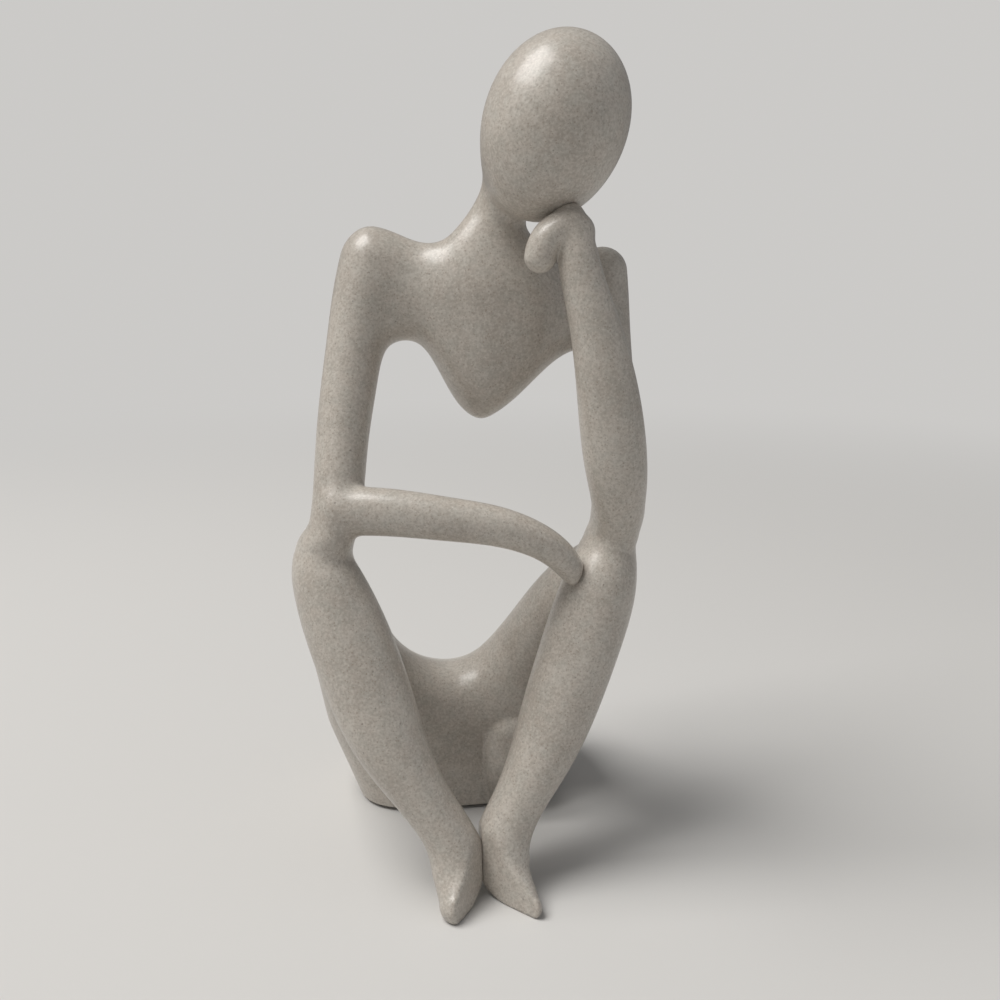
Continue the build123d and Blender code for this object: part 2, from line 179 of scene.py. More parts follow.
# The chest from shoulder to shoulder: across, behind, top, bottom, half depth, with its tops
# and bottoms as shares of its length, measured down from the shoulder.
CHEST = (
    (-0.59, 0.98, 0.05, 0.545, 0.69),
    (-0.46, 0.86, 0.07, 0.565, 0.74),
    (-0.305, 0.67, 0.088, 0.605, 0.82),
    (-0.195, 0.52, 0.092, 0.72, 0.90),
    (-0.085, 0.38, 0.09, 0.88, 0.94),
    (0.02, 0.27, 0.09, 0.975, 0.98),
    (0.11, 0.21, 0.095, 1.00, 1.00),
    (0.195, 0.19, 0.085, 0.975, 1.00),
    (0.305, 0.17, 0.085, 0.915, 0.98),
    (0.46, 0.19, 0.095, 0.805, 0.94),
    (0.65, 0.33, 0.125, 0.685, 0.82),
    (0.83, 0.52, 0.145, 0.62, 0.74),
    (0.935, 0.62, 0.165, 0.56, 0.66),
)

# How far the chest reaches ahead and behind, and the roundness of its two ends.
CHEST_REACH = (-0.015, 0.025)
CHEST_END = 0.006
# The slant along the inner side of each toe and the blunt end of the resting hand: a point and a facing.
TOE_SLANTS = {
    "right": ((-0.0100, -0.0550, 0.0), (0.8, -0.6, 0.06)),
    "left": ((0.0125, -0.0572, 0.0), (-0.73, -0.69, 0.04)),
}
HAND_END = ((0.0312, -0.025, 0.0959), (0.92, 0.0, -0.39))
# The planes of a foot let go of it behind the first of these places and above the second.
FOOT_ENDS = ((1, -0.024), (2, 0.030))
# Softness of the edges at the fist's rest under the chin, between the feet and at the hand's end.
CONTACT_ROUND = 0.0008
WEB_ROUND = 0.0005
HAND_ROUND = 0.0012
# The seam in the fork of the left arm faces the upper arm.
FORK_FACING = (0.0, 0.030, -0.0035)
# The right elbow's level seam ends here, and the shoulders' seams stay this far above the elbows.
RIGHT_ELBOW_END = -0.022
ABOVE_ELBOW = 0.042

# How far each form melts into those before it. The order is the order of melting. The thighs,
# the seat and the fold behind the left calf melt into one form first, the lap.
LAP_SOFTNESS = {"right_thigh": 0.0, "left_thigh": 0.016, "seat": 0.030, "left_ham": 0.0022}
SOFTNESS = {
    "chest": 0.0,
    "neck": 0.0135,
    "egg": 0.0075,
    "right_upper_arm": 0.018,
    "left_upper_arm": 0.0075,
    "right_leg": 0.0065,
    "left_leg": 0.009,
    "right_forearm": 0.0045,
    "left_forearm": 0.006,
    "lap": 0.009,
    "fist": 0.0020,
}
# Each casting: its forms, a point by its skin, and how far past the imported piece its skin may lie.
CASTINGS = {
    "head": ("chest neck egg", (0.024, -0.013, 0.227), 0.004),
    "torso": ("chest neck egg right_upper_arm left_upper_arm", (0.0, -0.009, 0.165), 0.004),
    "right_arm": ("chest right_upper_arm right_forearm right_leg lap", (-0.045, -0.004, 0.137), 0.004),
    "left_upper_arm": ("chest left_upper_arm left_forearm left_leg lap", (0.0553, -0.002, 0.147), 0.014),
    "left_forearm": ("left_upper_arm left_forearm left_leg lap fist", (0.038, -0.036, 0.153), 0.018),
    "right_leg": ("right_leg lap right_upper_arm right_forearm", (-0.035, -0.035, 0.065), 0.014),
    "left_leg": ("left_leg lap left_upper_arm left_forearm", (0.030, -0.035, 0.060), 0.014),
    "seat": (
        "lap right_leg left_leg right_upper_arm left_upper_arm right_forearm left_forearm",
        (0.0, 0.057, 0.020), 0.020,
    ),
}

# The felt pad: points round it, the size of its waves, its corners' share of its half depth, the height
# and inset of each level, and the shares of its outline that its inner rings take.
PAD_POINTS = 96
PAD_WAVE = 0.00012
PAD_CORNER_SHARE = 0.8
PAD_LEVELS = ((0.0, 0.0006), (0.0003, 0.0001), (0.0008, 0.0), (0.0012, 0.0002), (0.0015, 0.0007))
PAD_RING_SHARES = (0.7, 0.4, 0.12)
# One fibre: its height and bend as shares of its length, and its radius.
FIBRE_RINGS = ((0.0, 0.0, 0.00003), (0.5, 0.12, 0.000025), (0.95, 0.4, 0.00001))
# Fibres grow only above this height. The number asked for, times this, is their number on a square metre.
FIBRE_FLOOR = 0.0009
FIBRE_DENSITY = 3500.0

# Each lamp's place and tint, their width, and the point that they face.
LAMPS = {
    "key": ((-1.15, -0.10, 2.25), (1.0, 0.985, 0.96)),
    "fill": ((1.30, -0.60, 0.70), (0.86, 0.92, 1.0)),
}
LAMP_WIDTH = 1.50
LAMP_AIM = (0, 0, 0.12)
# The floor's radius, and how far out it starts and ends to fade. The camera's sensor is in millimetres.
FLOOR_RADIUS = 4.0
FLOOR_FADE = (0.25, 1.1)
SENSOR_WIDTH = 36.0


def length(name, value, description):
    """A length in metres that the sidebar shows."""
    return FloatProperty(
        name=name, description=description, default=value, min=0.0, precision=4,
        unit="LENGTH", subtype="DISTANCE",
    )


def share(name, value, description):
    """A plain number from nought to one."""
    return FloatProperty(
        name=name, description=description, default=value, min=0.0, max=1.0, subtype="FACTOR"
    )


def colour(name, value, description):
    """A linear colour."""
    return FloatVectorProperty(
        name=name, description=description, default=value, min=0.0, max=1.0, size=3, subtype="COLOR"
    )


def angle(name, degrees, description):
    """An angle that the sidebar shows in degrees."""
    return FloatProperty(
        name=name, description=description, default=math.radians(degrees), subtype="ANGLE"
    )


class StatueSizes(PropertyGroup):
    """Sizes of the figure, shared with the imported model."""

    knee_height: length("Knee height", 0.105, "Height of the knees' line")
    elbow_height: length("Elbow height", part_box("right_leg")[1].z, "Height of the seam at the elbows")
    shoulder_height: length("Shoulder height", 0.200, "Height that the arms and the chest hang from")
    neck_length: length("Neck length", 0.016, "From the shoulder up to the neck's top")
    chest_length: length("Chest length", 0.059, "From the shoulder to the chest's tip")
    forearm_rise: length("Forearm rise", 0.0085, "From the elbows' seam up to the right forearm's line")
    knee_spread: length("Knee spread", 0.044, "From the middle to each knee")
    shoulder_spread: length("Shoulder spread", 0.046, "From the middle to each shoulder")
    toe_reach: length("Toe reach", 0.057, "How far ahead the toes stand")
    elbow_reach: length("Elbow reach", 0.015, "How far ahead the elbows stand")
    seat_setback: length("Seat setback", 0.032, "How far back the seat's middle is")
    shoulder_setback: length("Shoulder setback", 0.0105, "How far back the shoulders are")
    neck_across: length("Neck across", 0.012, "How far to the side the neck stands")
    neck_lean: length("Neck lean", 0.0042, "How far the neck leans ahead")
    shin_size: length("Shin half width", 0.0125, "Half width and half depth of the calf")
    thigh_size: length("Thigh half width", 0.013, "Half width and half depth of the thigh")
    arm_width: length("Arm half width", 0.009, "Half width of the arm")
    arm_depth: length("Arm half depth", 0.0093, "Half depth of the arm")
    forearm_height: length("Forearm half height", 0.0075, "Half height of the right forearm")
    forearm_depth: length("Forearm half depth", 0.007, "Half depth of the right forearm")
    hand_width: length("Hand half width", 0.0064, "Half width of the left fist")
    hand_depth: length("Hand half depth", 0.0062, "Half depth of the left fist")
    neck_width: length("Neck half width", 0.0074, "Half width of the neck")
    neck_depth: length("Neck half depth", 0.008, "Half depth of the neck")
    chest_depth: length("Chest half depth", 0.0128, "Half depth of the chest")
    head_length: length("Head length", 0.05438, "Along the egg's long axis")
    head_width: length("Head width", 0.0416, "Across the egg")
    head_across: length("Head across", 0.0243, "How far to the side the head's middle is")
    head_reach: length("Head reach", 0.013, "How far ahead the head's middle is")
    head_rise: length("Head rise", 0.027, "From the shoulder up to the head's middle")
    neck_seam_drop: length("Neck seam drop", 0.0265, "From the head's middle down to its seam")
    crown_share: share("Crown share", 0.05, "How much wider the egg is at its crown")
    seat_width: length("Seat half width", 0.0425, "Half width of the seat block at its widest level")
    seat_foot: length("Seat foot half width", 0.0365, "Half width of the seat block at its underside")
    seat_depth: length("Seat half depth", 0.0243, "Half depth of the seat block")
    seat_middle: length("Seat middle", 0.030, "Height of the seat block's widest level")
    seat_rise: length("Seat rise", 0.0150, "From the widest level up to the middle of the seat's top")
    seat_fall: share("Seat fall", 0.45, "How much of its rise the seat's top loses towards the back")
    toe_round: length("Toe edge", 0.0018, "Softness of the edge along each toe")
    sole_round: length("Sole edge", 0.0012, "Softness of the edge round each sole")
    head_lean: angle("Head lean", 21.0, "How far the head leans to its left")
    head_tip: angle("Head tip", 3.5, "How far the head tips back")
    mesh_step: length("Mesh step", 0.0008, "Width of the faces of the skin")


class StatueFinish(PropertyGroup):
    """Colours and grain of the finishes."""

    resin: colour("Resin", (0.500, 0.455, 0.400), "Warm grey of the cast resin")
    resin_pale: colour("Pale resin", (0.600, 0.560, 0.505), "Paler clouds and flecks in the resin")
    resin_dark: colour("Dark resin", (0.360, 0.322, 0.280), "Darker clouds in the resin")
    resin_warm: colour("Warm resin", (0.470, 0.405, 0.350), "Clouds that lean to brown")
    resin_cool: colour("Cool resin", (0.480, 0.470, 0.425), "Clouds that lean to grey green")
    speck_pale: colour("Pale specks", (0.700, 0.670, 0.620), "The palest of the specks")
    speck_dark: colour("Dark specks", (0.120, 0.105, 0.095), "The darkest of the specks")
    speck_brown: colour("Brown specks", (0.270, 0.215, 0.170), "The warmer of the specks")
    steel: colour("Steel", (0.450, 0.450, 0.460), "Drawn steel wire")
    felt: colour("Felt", (0.030, 0.030, 0.032), "Thick black felt")
    cloud_size: length("Cloud size", 0.016, "Width of the pale and dark clouds")
    grain_size: length("Grain size", 0.0008, "Width of the fine grain")
    speck_spacing: length("Speck spacing", 0.0019, "Distance between the larger specks")
    fleck_spacing: length("Fleck spacing", 0.0008, "Distance between the fine flecks")
    gloss: share("Roughness", 0.40, "Roughness of the satin resin")


class StatuePad(PropertyGroup):
    """The felt pad under the seat."""

    fibre_length: length("Fibre length", 0.0006, "Length of the fibres, for which the pad is set in")
    fibres: IntProperty(
        name="Fibres", description="How thickly the fibres stand round the rim", default=900, min=0
    )
    seed: IntProperty(name="Seed", description="Seed for the fibres' places", default=7)


class StatueStage(PropertyGroup):
    """Camera, lamps and floor."""

    eye: FloatVectorProperty(
        name="Camera place", description="Where the camera stands",
        default=(-0.0386, -0.3108, 0.190), size=3, unit="LENGTH", subtype="TRANSLATION",
    )
    turn: angle("Camera turn", -9.0, "Turn of the camera to the side")
    pitch: angle("Camera pitch", 13.5, "How far the camera looks down")
    lens: FloatProperty(name="Lens", description="Focal length in mm", default=36.0, min=1.0)
    floor: colour("Floor", (0.64, 0.63, 0.615), "Plain pale floor")
    backdrop: colour("Backdrop", (0.60, 0.59, 0.575), "Plain pale surround")
    world: share("World light", 0.20, "Strength of the even light from all round")
    key: FloatProperty(name="Key lamp", description="Power of the lamp in watts", default=62.0, min=0.0)
    fill: FloatProperty(name="Fill lamp", description="Power of the lamp in watts", default=1.5, min=0.0)


def places(shares, across, ahead, low, rise, half_width, half_depth):
    """Turn a limb's table of shares into rows of x, y, z, half width and half depth."""
    rows = np.array(shares, float)
    rows = rows * (across, ahead, rise, half_width, half_depth)
    rows[:, 2] += low
    return rows


class Line:
    """A smooth line through the rows of a table: the curve that an even springy strip takes."""

    def __init__(self, rows):
        self.rows = np.asarray(rows, float)
        chords = np.linalg.norm(np.diff(self.rows[:, :3], axis=0), axis=1)
        self.knots = np.concatenate([[0.0], np.cumsum(np.sqrt(chords))])
        self.gaps = np.diff(self.knots)
        count = len(self.rows)
        system = np.eye(count)
        loads = np.zeros_like(self.rows)
        for i in range(1, count - 1):
            before, after = self.gaps[i - 1], self.gaps[i]
            system[i, i - 1:i + 2] = before, 2 * (before + after), after
            rise = (self.rows[i + 1] - self.rows[i]) / after
            loads[i] = 6 * (rise - (self.rows[i] - self.rows[i - 1]) / before)
        self.bends = np.linalg.solve(system, loads)

    def at(self, place, columns=slice(None)):
        """Values, slopes and bends of the chosen columns at each place along the line."""
        span = np.clip(np.searchsorted(self.knots, place, side="right") - 1, 0, len(self.gaps) - 1)
        gap = self.gaps[span][:, None]
        left = self.knots[span + 1][:, None] - place[:, None]
        right = place[:, None] - self.knots[span][:, None]
        start, end = self.rows[span][:, columns], self.rows[span + 1][:, columns]
        bend_start, bend_end = self.bends[span][:, columns], self.bends[span + 1][:, columns]
        pull_start = start / gap - bend_start * gap / 6
        pull_end = end / gap - bend_end * gap / 6
        value = (bend_start * left**3 + bend_end * right**3) / (6 * gap)
        value += pull_start * left + pull_end * right
        slope = (bend_end * right**2 - bend_start * left**2) / (2 * gap) + pull_end - pull_start
        return value, slope, (bend_start * left + bend_end * right) / gap


def oval(parts, sizes):
    """Distance to an oval, near its surface, from each part of a place and the oval's half sizes."""
    near = sum((part / size) ** 2 for part, size in zip(parts, sizes))
    steep = sum((part / size**2) ** 2 for part, size in zip(parts, sizes))
    level = np.sqrt(near) + 1e-9
    return level * (level - 1) / (np.sqrt(steep) + 1e-9)


class Limb:
    """A tube with oval sections square to a smooth line, and round ends."""

    def __init__(self, rows, side):
        self.line = Line(rows)
        self.side = np.array(side, float)
        shares = np.arange(MARKS) / MARKS
        marks = [start + gap * shares for start, gap in zip(self.line.knots, self.line.gaps)]
        self.marks = np.concatenate(marks + [self.line.knots[-1:]])
        values = self.line.at(self.marks)[0]
        self.centres = values[:, :3]
        reach = values[:, 3:].max(axis=1)[:, None]
        self.low = (self.centres - reach).min(axis=0)
        self.high = (self.centres + reach).max(axis=0)

    def distance(self, points):
        """Distance from each point to the tube's skin, negative inside."""
        squares = (self.centres**2).sum(axis=1)
        place = np.empty(len(points))
        for start in range(0, len(points), BLOCK):
            block = slice(start, start + BLOCK)
            nearest = np.argmin(squares - 2 * points[block] @ self.centres.T, axis=1)
            place[block] = self.marks[nearest]
        middle = slice(0, 3)
        for _ in range(STEPS):
            value, slope, bend = self.line.at(place, middle)
            off = value - points
            speed = (slope**2).sum(axis=1)
            change = (off * slope).sum(axis=1)
            change /= np.maximum(speed + (off * bend).sum(axis=1), SPEED_SHARE * speed)
            place = np.clip(place - change, 0.0, self.line.knots[-1])
        value, slope, _ = self.line.at(place)
        along = slope[:, :3] / np.linalg.norm(slope[:, :3], axis=1)[:, None]
        across = self.side - (along @ self.side)[:, None] * along
        across /= np.linalg.norm(across, axis=1)[:, None]
        outward = np.cross(along, across)
        off = points - value[:, :3]
        width, depth = value[:, 3], value[:, 4]
        parts = [(off * way).sum(axis=1) for way in (across, outward, along)]
        return oval(parts, (width, depth, np.minimum(width, depth)))


class Chest:
    """The shield of the chest: upright oval sections from shoulder to shoulder."""

    def __init__(self, rows):
        self.line = Line(rows)
        self.low = np.array([rows[0, 0] - CHEST_END, CHEST_REACH[0], rows[:, 3].min()])
        self.high = np.array([rows[-1, 0] + CHEST_END, CHEST_REACH[1], rows[:, 2].max()])
        self.steps = np.linspace(0.0, self.line.knots[-1], 400)
        self.across = self.line.at(self.steps)[0][:, 0]

    def distance(self, points):
        """Distance from each point to the chest's skin, negative inside."""
        inside = np.clip(points[:, 0], self.across[0], self.across[-1])
        place = np.interp(inside, self.across, self.steps)
        value = self.line.at(place)[0]
        middle = (value[:, 2] + value[:, 3]) / 2
        half_height = (value[:, 2] - value[:, 3]) / 2
        parts = (points[:, 1] - value[:, 1], points[:, 2] - middle, points[:, 0] - inside)
        return oval(parts, (value[:, 4], half_height, CHEST_END))


class Egg:
    """The blank egg of the head, wider towards its crown."""

    def __init__(self, middle, axis, half_length, radius, crown_share):
        self.middle, self.axis = np.array(middle), np.array(axis)
        self.half_length, self.radius, self.crown_share = half_length, radius, crown_share
        self.low, self.high = self.middle - half_length, self.middle + half_length

    def distance(self, points):
        """Distance from each point to the egg's skin, negative inside."""
        off = points - self.middle
        along = off @ self.axis
        out = np.sqrt(np.maximum((off**2).sum(axis=1) - along**2, 0))
        level = np.clip(along / self.half_length, -OVER, OVER)
        radius = self.radius * (1 + self.crown_share * level)
        return oval((out, along), (radius, self.half_length))


class SeatBlock:
    """The rounded block of the seat: a squarish oval from above, flared, with a top that falls backwards."""

    def __init__(self, middle, widest, narrowest, half_depth, rise, fall, floor):
        self.middle = np.array(middle)
        self.widest, self.narrowest, self.half_depth = widest, narrowest, half_depth
        self.rise, self.fall, self.floor = rise, fall, floor
        reach = np.array([widest, half_depth, max(rise * (1 + fall), self.middle[2])])
        self.low, self.high = self.middle - reach, self.middle + reach

    def distance(self, points):
        """Distance from each point to the seat's skin, negative inside."""
        plan_power, side_power, flare_power = 3.2, 2.2, 1.3
        off = points - self.middle
        down = np.clip(-off[:, 2] / (self.middle[2] - self.floor), 0.0, OVER)
        half_width = self.widest - (self.widest - self.narrowest) * down**flare_power
        a = np.abs(off[:, 0]) / half_width + 1e-9
        b = np.abs(off[:, 1]) / self.half_depth + 1e-9
        rise = self.rise * (1 - self.fall * np.clip(off[:, 1] / self.half_depth, -1.0, 1.0))
        c = np.maximum(off[:, 2], 0.0) / rise + 1e-9
        plan = (a**plan_power + b**plan_power) ** (1 / plan_power)
        level = (plan**side_power + c**side_power) ** (1 / side_power)
        share_plan = (plan / level) ** (side_power - 1)
        slope_a = share_plan * (a / plan) ** (plan_power - 1) / half_width
        slope_b = share_plan * (b / plan) ** (plan_power - 1) / self.half_depth
        slope_c = (c / level) ** (side_power - 1) / rise
        return (level - 1) / np.sqrt(slope_a**2 + slope_b**2 + slope_c**2)


def melt(first, second, soft):
    """The nearer of two distances, with an even fillet where they are alike."""
    if soft <= 0:
        return np.minimum(first, second)
    alike = np.maximum(soft - np.abs(first - second), 0) / soft
    return np.minimum(first, second) - alike**3 * soft / 6


def carve(first, second, soft):
    """What two forms share, with a softened edge where they meet."""
    return -melt(-first, -second, soft)


class Skin:
    """The melted surface of some of the figure's forms, trimmed by planes and by a form it rests on."""

    def __init__(self, forms, names, trims=(), against=None, softness=SOFTNESS):
        self.forms = [(forms[name], soft) for name, soft in softness.items() if name in names]
        self.trims = [(np.array(point), np.array(facing), soft, ends) for point, facing, soft, ends in trims]
        self.against = forms[against] if against else None
        self.low = np.min([form.low for form, _ in self.forms], axis=0)
        self.high = np.max([form.high for form, _ in self.forms], axis=0)

    def distance(self, points):
        """Distance from each point to the skin, negative inside."""
        found = np.full(len(points), FAR)
        for form, soft in self.forms:
            margin = soft + NEAR
            near = np.all((points > form.low - margin) & (points < form.high + margin), axis=1)
            one = np.full(len(points), FAR)
            if near.any():
                one[near] = form.distance(points[near])
            found = melt(found, one, soft)
        for point, facing, soft, ends in self.trims:
            beyond = (points - point) @ facing
            for axis, end in ends:
                beyond = beyond - np.maximum(points[:, axis] - end, 0)
            found = carve(found, beyond, soft)
        if self.against:
            found = carve(found, -self.against.distance(points), CONTACT_ROUND)
        return found

    def slope(self, points, step=0.00005):
        """Direction in which the distance grows, at each point."""
        found = np.empty_like(points)
        for axis in range(3):
            shift = np.zeros(3)
            shift[axis] = step
            found[:, axis] = self.distance(points + shift) - self.distance(points - shift)
        return found / (2 * step)


def corners(block):
    """The eight shifted views of a block of grid values, one for each corner of a cell."""
    spans = (slice(0, -1), slice(1, None))
    return {corner: block[tuple(spans[i] for i in corner)] for corner in np.ndindex(2, 2, 2)}


def sampled(skin, low, high, step, coarse=4):
    """Distances on an even grid, worked out only near the skin."""
    stride = step * coarse
    first = np.floor(low / stride).astype(int)
    count = np.ceil(high / stride).astype(int) - first + 1
    origin = first * step * coarse
    axes = [origin[i] + stride * np.arange(count[i]) for i in range(3)]
    mesh = np.stack(np.meshgrid(*axes, indexing="ij"), axis=-1)
    rough = skin.distance(mesh.reshape(-1, 3)).reshape(mesh.shape[:3])
    close = 1.8 * step * coarse
    cells = np.zeros(count - 1, bool)
    for view in corners(np.abs(rough) < close).values():
        cells |= view
    fill = rough[:-1, :-1, :-1]
    for axis in range(3):
        cells = cells.repeat(coarse, axis)
        fill = fill.repeat(coarse, axis)
    fill = np.pad(np.where(fill < 0, -FAR, FAR), ((0, 1),) * 3, mode="edge")
    wanted = np.zeros(np.array(cells.shape) + 1, bool)
    for view in corners(wanted).values():
        view |= cells
    fill[wanted] = skin.distance(origin + step * np.argwhere(wanted))
    return fill, origin


def netted(values, origin, step):
    """One point in each cell that the skin crosses, and one four-sided face for each crossed edge."""
    shape = np.array(values.shape) - 1
    total = np.zeros((*shape, 3))
    hits = np.zeros(shape)
    views = corners(values)
    for corner, view in views.items():
        for axis in range(3):
            if corner[axis]:
                continue
            end = views[tuple(1 if i == axis else corner[i] for i in range(3))]
            crossed = (view < 0) != (end < 0)
            share_along = np.where(crossed, view / np.where(crossed, view - end, 1), 0)
            for i in range(3):
                total[..., i] += np.where(crossed, share_along if i == axis else corner[i], 0)
            hits += crossed
    cells = hits > 0
    index = np.full(shape, -1)
    index[cells] = np.arange(cells.sum())
    points = (total[cells] / hits[cells][:, None] + np.argwhere(cells)) * step + origin
    faces = []
    for axis in range(3):
        start, end = [slice(1, -1)] * 3, [slice(1, -1)] * 3
        start[axis], end[axis] = slice(0, -1), slice(1, None)
        first, second = values[tuple(start)], values[tuple(end)]
        crossed = (first < 0) != (second < 0)
        where = np.argwhere(crossed) + [0 if i == axis else 1 for i in range(3)]
        one, two = np.eye(3, dtype=int)[[i for i in range(3) if i != axis]]
        ring = [where - one - two, where - two, where, where - one]
        found = np.stack([index[tuple(cell.T)] for cell in ring], axis=1)
        outward = first[crossed] < 0
        if axis == 1:
            outward = ~outward
        faces.append(np.where(outward[:, None], found, found[:, ::-1]))
    return points, np.concatenate(faces)


def seam(axis, place, way, within=None):
    """A cut square to one axis, which keeps what lies that way from the place."""
    unit = np.array([name == axis for name in "xyz"], float)
    return unit * place, unit * way, within


def cut(bm, cap_layer, point, facing, within):
    """Cut the skin with a plane, keep the side that the plane faces and close the cut."""
    point, facing = Vector(point), Vector(facing).normalized()
    geometry = {}
    for face in bm.faces:
        if within is None or all(within(vert.co) for vert in face.verts):
            geometry.update(dict.fromkeys((face, *face.edges, *face.verts)))
    result = bmesh.ops.bisect_plane(
        bm, geom=list(geometry), dist=1e-7, plane_co=point, plane_no=-facing, clear_outer=True
    )
    edges = [item for item in result["geom_cut"] if isinstance(item, bmesh.types.BMEdge)]
    rim = [edge for edge in edges if edge.is_valid and edge.is_boundary]
    for face in bmesh.ops.holes_fill(bm, edges=rim, sides=0)["faces"]:
        face[cap_layer] = 1


def keep_joined(bm, seed):
    """Keep only what is joined to the point nearest to the seed."""
    start = min(bm.verts, key=lambda vert: (vert.co - Vector(seed)).length_squared)
    kept = {start}
    queue = [start]
    while queue:
        for edge in queue.pop().link_edges:
            for vert in edge.verts:
                if vert not in kept:
                    kept.add(vert)
                    queue.append(vert)
    bmesh.ops.delete(bm, geom=[vert for vert in bm.verts if vert not in kept], context="VERTS")


def placed(name, data):
    """A new object in the scene, with this mesh, lamp or camera."""
    item = bpy.data.objects.new(name, data)
    bpy.context.scene.collection.objects.link(item)
    return item


def casting(node, cuts, trims=(), against=None):
    """Mesh one casting's share of the figure, cut at its seams, and put it in its node's place."""
    sizes = bpy.context.scene.statue_sizes
    names, seed, margin = CASTINGS[node]
    skin = Skin(figure_forms(sizes), names.split(), trims, against)
    step = sizes.mesh_step * 1
    low, high = (np.array(corner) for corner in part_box(node))
    values, origin = sampled(skin, low - margin, high + margin, step)
    points, faces = netted(values, origin, step)
    for _ in range(ROUNDS):
        slope = skin.slope(points)
        steep = np.maximum((slope**2).sum(axis=1), LEAST_STEEP)
        shift = (skin.distance(points) / steep)[:, None] * slope
        points -= np.clip(shift, -MOST_MOVE * step, MOST_MOVE * step)
    mesh = bpy.data.meshes.new(node + "_skin")
    mesh.from_pydata(points.tolist(), [], faces.tolist())
    bm = bmesh.new()
    bm.from_mesh(mesh)
    cap_layer = bm.faces.layers.int.new("cap")
    for point, facing, within in cuts:
        cut(bm, cap_layer, point, facing, within)
    keep_joined(bm, seed)
    bmesh.ops.triangulate(bm, faces=[face for face in bm.faces if face[cap_layer]])
    open_edges = [edge for edge in bm.edges if edge.is_boundary]
    if open_edges:
        raise RuntimeError(f"{node} is open at {len(open_edges)} edges, near {open_edges[0].verts[0].co}")
    bm.normal_update()
    bm.to_mesh(mesh)
    bm.free()
    shade(mesh, skin)
    piece = placed(node + "_skin", mesh)
    piece.data.materials.append(resin_material())
    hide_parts(node)
    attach(piece, "root")


def read(data, name, kind=float, width=1):
    """All the values of one property of a mesh's points, corners or faces."""
    values = np.empty(len(data) * width, kind)
    data.foreach_get(name, values)
    return values.reshape(-1, width) if width > 1 else values


def shade(mesh, skin):
    """Give the mesh the skin's own smooth normals, and flat ones on its cuts."""
    smooth = skin.slope(read(mesh.vertices, "co", width=3))
    smooth /= np.linalg.norm(smooth, axis=1)[:, None]
    caps = read(mesh.attributes["cap"].data, "value", int)
    flat = read(mesh.polygons, "normal", width=3)
    face_of_corner = np.repeat(np.arange(len(mesh.polygons)), read(mesh.polygons, "loop_total", int))
    normals = smooth[read(mesh.loops, "vertex_index", int)]
    on_cap = caps[face_of_corner] > 0
    normals[on_cap] = flat[face_of_corner[on_cap]]
    mesh.attributes.remove(mesh.attributes["cap"])
    mesh.polygons.foreach_set("use_smooth", np.ones(len(mesh.polygons), bool))
    mesh.normals_split_custom_set(normals.tolist())
    mesh.update()


def figure_forms(s):
    """Every form of the figure, whole, before the seams part them."""
    sideways, forward = (1, 0, 0), (0, 1, 0)
    leg = (s.knee_spread, s.toe_reach, 0, s.knee_height, s.shin_size, s.shin_size)
    thigh = (s.knee_spread, s.seat_setback, 0, s.knee_height, s.thigh_size, s.thigh_size)
    elbow = (s.knee_spread, s.elbow_reach, s.elbow_height)
    rise = s.shoulder_height - s.elbow_height
    upper_arm = (*elbow, rise, s.arm_width, s.arm_depth)
    lying = (*elbow, s.forearm_rise, s.forearm_height, s.forearm_depth)
    neck = (s.neck_across, s.neck_lean, s.shoulder_height, s.neck_length, s.neck_width, s.neck_depth)
    chest = np.array(CHEST, float)
    chest[:, 0] *= s.shoulder_spread
    chest[:, 1] *= s.shoulder_setback
    chest[:, 2:4] = s.shoulder_height - chest[:, 2:4] * s.chest_length
    chest[:, 4] *= s.chest_depth
    lap = {
        "right_thigh": Limb(places(RIGHT_THIGH, *thigh), sideways),
        "left_thigh": Limb(places(LEFT_THIGH, *thigh), sideways),
        "left_ham": Limb(places(LEFT_HAM, *thigh), sideways),
        "seat": SeatBlock(
            (0, s.seat_setback, s.seat_middle), s.seat_width, s.seat_foot, s.seat_depth,
            s.seat_rise, s.seat_fall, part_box("seat")[0].z,
        ),
    }
    return {
        "chest": Chest(chest),
        "neck": Limb(places(NECK, *neck), sideways),
        "egg": Egg(*head_place(s), s.head_length / 2, s.head_width / 2, s.crown_share),
        "right_upper_arm": Limb(places(RIGHT_UPPER_ARM, *upper_arm), sideways),
        "left_upper_arm": Limb(places(LEFT_UPPER_ARM, *upper_arm), sideways),
        "right_leg": Limb(places(RIGHT_LEG, *leg), sideways),
        "left_leg": Limb(places(LEFT_LEG, *leg), sideways),
        "right_forearm": Limb(places(RIGHT_FOREARM, *lying), (0, 0, -1)),
        "left_forearm": Limb(places(LEFT_FOREARM, *elbow, rise, s.arm_depth, s.arm_width), (0, -1, 0)),
        "lap": Skin(lap, lap, softness=LAP_SOFTNESS),
        "fist": Limb(places(LEFT_FIST, *elbow, rise, s.hand_width, s.hand_depth), forward),
    }


def head_place(s):
    """The middle of the head and the way that its crown points."""
    lean, tip = s.head_lean, s.head_tip
    axis = Vector((math.sin(lean), math.tan(tip) * math.cos(lean), math.cos(lean))).normalized()
    return (s.head_across, -s.head_reach, s.shoulder_height + s.head_rise), tuple(axis)


def neck_seam(s):
    """The plane where the neck meets the head: a point on it, and the way up into the head."""
    row = places(NECK, s.neck_across, s.neck_lean, s.shoulder_height, s.neck_length, 1, 1)[2]
    middle = Vector(head_place(s)[0])
    towards = (middle - Vector(row[:3])).normalized()
    return middle - towards * s.neck_seam_drop, towards


